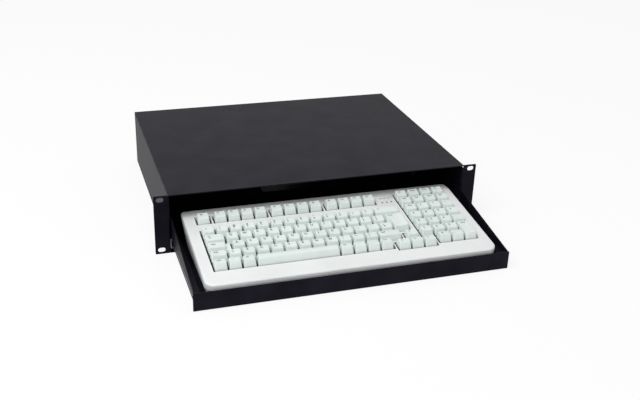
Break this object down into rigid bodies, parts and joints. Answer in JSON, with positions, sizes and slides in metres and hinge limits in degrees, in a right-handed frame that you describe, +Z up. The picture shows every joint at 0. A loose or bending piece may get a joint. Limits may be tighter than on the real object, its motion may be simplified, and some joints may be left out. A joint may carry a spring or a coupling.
{
  "type": "rack keyboard tray",
  "caption": "Rack drawer with a keyboard in a tray that slides out of an open-fronted steel box on ball-bearing slides; the keys press down and spring back",
  "frame": {"origin": "centre of the four rack slots, on the front face of the ears", "axes": "+X to the right seen from the front, +Y into the rack, +Z up"},
  "size_m": [0.4826, 0.501, 0.0882],
  "materials": {
    "black_powder_coat": "fine-textured black powder coat on steel sheet",
    "blackened_steel": "black oxide",
    "zinc_plated_steel": "bright zinc plate",
    "bearing_steel": "polished",
    "white_case_plastic": "fine moulded texture",
    "keycap_plastic": "lightly textured pale grey-green white",
    "switch_plate_steel": "dark lacquer",
    "circuit_board_laminate": "green solder mask",
    "black_switch_plastic": "moulded",
    "clear_light_pipe": "clear moulded",
    "black_rubber": "matt"
  },
  "bodies": {
    "chassis": {"side_panel_left": "black_powder_coat", "side_panel_right": "black_powder_coat", "bottom_panel": "black_powder_coat", "top_cover": "black_powder_coat", "rear_panel": "black_powder_coat", "cover_screws": "blackened_steel", "base_screws": "blackened_steel", "rear_screws": "blackened_steel", "outer_rail_left": "zinc_plated_steel", "outer_rail_right": "zinc_plated_steel", "outer_rail_rivets": "blackened_steel"},
    "ball_cage_left": {"ball_cage_left": "zinc_plated_steel", "slide_balls_left": "bearing_steel"},
    "ball_cage_right": {"ball_cage_right": "zinc_plated_steel", "slide_balls_right": "bearing_steel"},
    "tray": {"tray_pan": "black_powder_coat", "tray_front": "black_powder_coat", "inner_rail_left": "zinc_plated_steel", "inner_rail_right": "zinc_plated_steel", "inner_rail_rivets": "blackened_steel", "keyboard_top_shell": "white_case_plastic", "keyboard_bottom_shell": "white_case_plastic", "switch_plate": "switch_plate_steel", "circuit_board": "circuit_board_laminate", "key_switches": "black_switch_plastic", "stabilisers": "black_switch_plastic", "indicator_lights": "clear_light_pipe", "keyboard_feet": "black_rubber", "case_screws": "blackened_steel"},
    "escape_key": {"escape_key": "keycap_plastic"},
    "function_keys_1_to_4": {"function_keys_1_to_4": "keycap_plastic"},
    "function_keys_5_to_8": {"function_keys_5_to_8": "keycap_plastic"},
    "function_keys_9_to_12": {"function_keys_9_to_12": "keycap_plastic"},
    "number_row_keys": {"number_row_keys": "keycap_plastic"},
    "backspace_key": {"backspace_key": "keycap_plastic"},
    "tab_key": {"tab_key": "keycap_plastic"},
    "upper_letter_keys": {"upper_letter_keys": "keycap_plastic"},
    "enter_key": {"enter_key": "keycap_plastic"},
    "caps_lock_key": {"caps_lock_key": "keycap_plastic"},
    "home_letter_keys": {"home_letter_keys": "keycap_plastic"},
    "left_shift_key": {"left_shift_key": "keycap_plastic"},
    "lower_letter_keys": {"lower_letter_keys": "keycap_plastic"},
    "right_shift_key": {"right_shift_key": "keycap_plastic"},
    "left_modifier_keys": {"left_modifier_keys": "keycap_plastic"},
    "space_bar": {"space_bar": "keycap_plastic"},
    "right_modifier_keys": {"right_modifier_keys": "keycap_plastic"},
    "up_arrow_key": {"up_arrow_key": "keycap_plastic"},
    "left_arrow_key": {"left_arrow_key": "keycap_plastic"},
    "down_arrow_key": {"down_arrow_key": "keycap_plastic"},
    "right_arrow_key": {"right_arrow_key": "keycap_plastic"},
    "navigation_keys_rear": {"navigation_keys_rear": "keycap_plastic"},
    "navigation_keys_front": {"navigation_keys_front": "keycap_plastic"},
    "number_pad_top_keys": {"number_pad_top_keys": "keycap_plastic"},
    "number_pad_789_keys": {"number_pad_789_keys": "keycap_plastic"},
    "number_pad_456_keys": {"number_pad_456_keys": "keycap_plastic"},
    "number_pad_123_keys": {"number_pad_123_keys": "keycap_plastic"},
    "number_pad_zero_keys": {"number_pad_zero_keys": "keycap_plastic"},
    "number_pad_enter_key": {"number_pad_enter_key": "keycap_plastic"}
  },
  "joints": [
    {"name": "tray_slide", "type": "slide", "parent": "chassis", "child": "tray", "axis": [0, -1, 0], "range_m": [-0.159, 0.04]},
    {"name": "ball_cage_left_run", "type": "slide", "parent": "chassis", "child": "ball_cage_left", "axis": [0, -1, 0], "range_m": [-0.0795, 0.02]},
    {"name": "ball_cage_right_run", "type": "slide", "parent": "chassis", "child": "ball_cage_right", "axis": [0, -1, 0], "range_m": [-0.0795, 0.02]},
    {"name": "escape_key_press", "type": "slide", "parent": "tray", "child": "escape_key", "axis": [0, -0.1097, 0.994], "range_m": [-0.0038, 0], "stiffness_N_per_m": 150, "springref_m": 0.004},
    {"name": "function_keys_1_to_4_press", "type": "slide", "parent": "tray", "child": "function_keys_1_to_4", "axis": [0, -0.1097, 0.994], "range_m": [-0.0038, 0], "stiffness_N_per_m": 600, "springref_m": 0.004},
    {"name": "function_keys_5_to_8_press", "type": "slide", "parent": "tray", "child": "function_keys_5_to_8", "axis": [0, -0.1097, 0.994], "range_m": [-0.0038, 0], "stiffness_N_per_m": 600, "springref_m": 0.004},
    {"name": "function_keys_9_to_12_press", "type": "slide", "parent": "tray", "child": "function_keys_9_to_12", "axis": [0, -0.1097, 0.994], "range_m": [-0.0038, 0], "stiffness_N_per_m": 600, "springref_m": 0.004},
    {"name": "number_row_keys_press", "type": "slide", "parent": "tray", "child": "number_row_keys", "axis": [0, -0.1097, 0.994], "range_m": [-0.0038, 0], "stiffness_N_per_m": 1950, "springref_m": 0.004},
    {"name": "backspace_key_press", "type": "slide", "parent": "tray", "child": "backspace_key", "axis": [0, -0.1097, 0.994], "range_m": [-0.0038, 0], "stiffness_N_per_m": 150, "springref_m": 0.004},
    {"name": "tab_key_press", "type": "slide", "parent": "tray", "child": "tab_key", "axis": [0, -0.1097, 0.994], "range_m": [-0.0038, 0], "stiffness_N_per_m": 150, "springref_m": 0.004},
    {"name": "upper_letter_keys_press", "type": "slide", "parent": "tray", "child": "upper_letter_keys", "axis": [0, -0.1097, 0.994], "range_m": [-0.0038, 0], "stiffness_N_per_m": 1800, "springref_m": 0.004},
    {"name": "enter_key_press", "type": "slide", "parent": "tray", "child": "enter_key", "axis": [0, -0.1097, 0.994], "range_m": [-0.0038, 0], "stiffness_N_per_m": 150, "springref_m": 0.004},
    {"name": "caps_lock_key_press", "type": "slide", "parent": "tray", "child": "caps_lock_key", "axis": [0, -0.1097, 0.994], "range_m": [-0.0038, 0], "stiffness_N_per_m": 150, "springref_m": 0.004},
    {"name": "home_letter_keys_press", "type": "slide", "parent": "tray", "child": "home_letter_keys", "axis": [0, -0.1097, 0.994], "range_m": [-0.0038, 0], "stiffness_N_per_m": 1800, "springref_m": 0.004},
    {"name": "left_shift_key_press", "type": "slide", "parent": "tray", "child": "left_shift_key", "axis": [0, -0.1097, 0.994], "range_m": [-0.0038, 0], "stiffness_N_per_m": 150, "springref_m": 0.004},
    {"name": "lower_letter_keys_press", "type": "slide", "parent": "tray", "child": "lower_letter_keys", "axis": [0, -0.1097, 0.994], "range_m": [-0.0038, 0], "stiffness_N_per_m": 1650, "springref_m": 0.004},
    {"name": "right_shift_key_press", "type": "slide", "parent": "tray", "child": "right_shift_key", "axis": [0, -0.1097, 0.994], "range_m": [-0.0038, 0], "stiffness_N_per_m": 150, "springref_m": 0.004},
    {"name": "left_modifier_keys_press", "type": "slide", "parent": "tray", "child": "left_modifier_keys", "axis": [0, -0.1097, 0.994], "range_m": [-0.0038, 0], "stiffness_N_per_m": 450, "springref_m": 0.004},
    {"name": "space_bar_press", "type": "slide", "parent": "tray", "child": "space_bar", "axis": [0, -0.1097, 0.994], "range_m": [-0.0038, 0], "stiffness_N_per_m": 150, "springref_m": 0.004},
    {"name": "right_modifier_keys_press", "type": "slide", "parent": "tray", "child": "right_modifier_keys", "axis": [0, -0.1097, 0.994], "range_m": [-0.0038, 0], "stiffness_N_per_m": 600, "springref_m": 0.004},
    {"name": "up_arrow_key_press", "type": "slide", "parent": "tray", "child": "up_arrow_key", "axis": [0, -0.1097, 0.994], "range_m": [-0.0038, 0], "stiffness_N_per_m": 150, "springref_m": 0.004},
    {"name": "left_arrow_key_press", "type": "slide", "parent": "tray", "child": "left_arrow_key", "axis": [0, -0.1097, 0.994], "range_m": [-0.0038, 0], "stiffness_N_per_m": 150, "springref_m": 0.004},
    {"name": "down_arrow_key_press", "type": "slide", "parent": "tray", "child": "down_arrow_key", "axis": [0, -0.1097, 0.994], "range_m": [-0.0038, 0], "stiffness_N_per_m": 150, "springref_m": 0.004},
    {"name": "right_arrow_key_press", "type": "slide", "parent": "tray", "child": "right_arrow_key", "axis": [0, -0.1097, 0.994], "range_m": [-0.0038, 0], "stiffness_N_per_m": 150, "springref_m": 0.004},
    {"name": "navigation_keys_rear_press", "type": "slide", "parent": "tray", "child": "navigation_keys_rear", "axis": [0, -0.1097, 0.994], "range_m": [-0.0038, 0], "stiffness_N_per_m": 600, "springref_m": 0.004},
    {"name": "navigation_keys_front_press", "type": "slide", "parent": "tray", "child": "navigation_keys_front", "axis": [0, -0.1097, 0.994], "range_m": [-0.0038, 0], "stiffness_N_per_m": 600, "springref_m": 0.004},
    {"name": "number_pad_top_keys_press", "type": "slide", "parent": "tray", "child": "number_pad_top_keys", "axis": [0, -0.1097, 0.994], "range_m": [-0.0038, 0], "stiffness_N_per_m": 600, "springref_m": 0.004},
    {"name": "number_pad_789_keys_press", "type": "slide", "parent": "tray", "child": "number_pad_789_keys", "axis": [0, -0.1097, 0.994], "range_m": [-0.0038, 0], "stiffness_N_per_m": 600, "springref_m": 0.004},
    {"name": "number_pad_456_keys_press", "type": "slide", "parent": "tray", "child": "number_pad_456_keys", "axis": [0, -0.1097, 0.994], "range_m": [-0.0038, 0], "stiffness_N_per_m": 600, "springref_m": 0.004},
    {"name": "number_pad_123_keys_press", "type": "slide", "parent": "tray", "child": "number_pad_123_keys", "axis": [0, -0.1097, 0.994], "range_m": [-0.0038, 0], "stiffness_N_per_m": 450, "springref_m": 0.004},
    {"name": "number_pad_zero_keys_press", "type": "slide", "parent": "tray", "child": "number_pad_zero_keys", "axis": [0, -0.1097, 0.994], "range_m": [-0.0038, 0], "stiffness_N_per_m": 300, "springref_m": 0.004},
    {"name": "number_pad_enter_key_press", "type": "slide", "parent": "tray", "child": "number_pad_enter_key", "axis": [0, -0.1097, 0.994], "range_m": [-0.0038, 0], "stiffness_N_per_m": 150, "springref_m": 0.004}
  ],
  "couplings": [
    {"joint": "ball_cage_left_run", "follows": "tray_slide", "ratio": 0.5},
    {"joint": "ball_cage_right_run", "follows": "tray_slide", "ratio": 0.5}
  ]
}
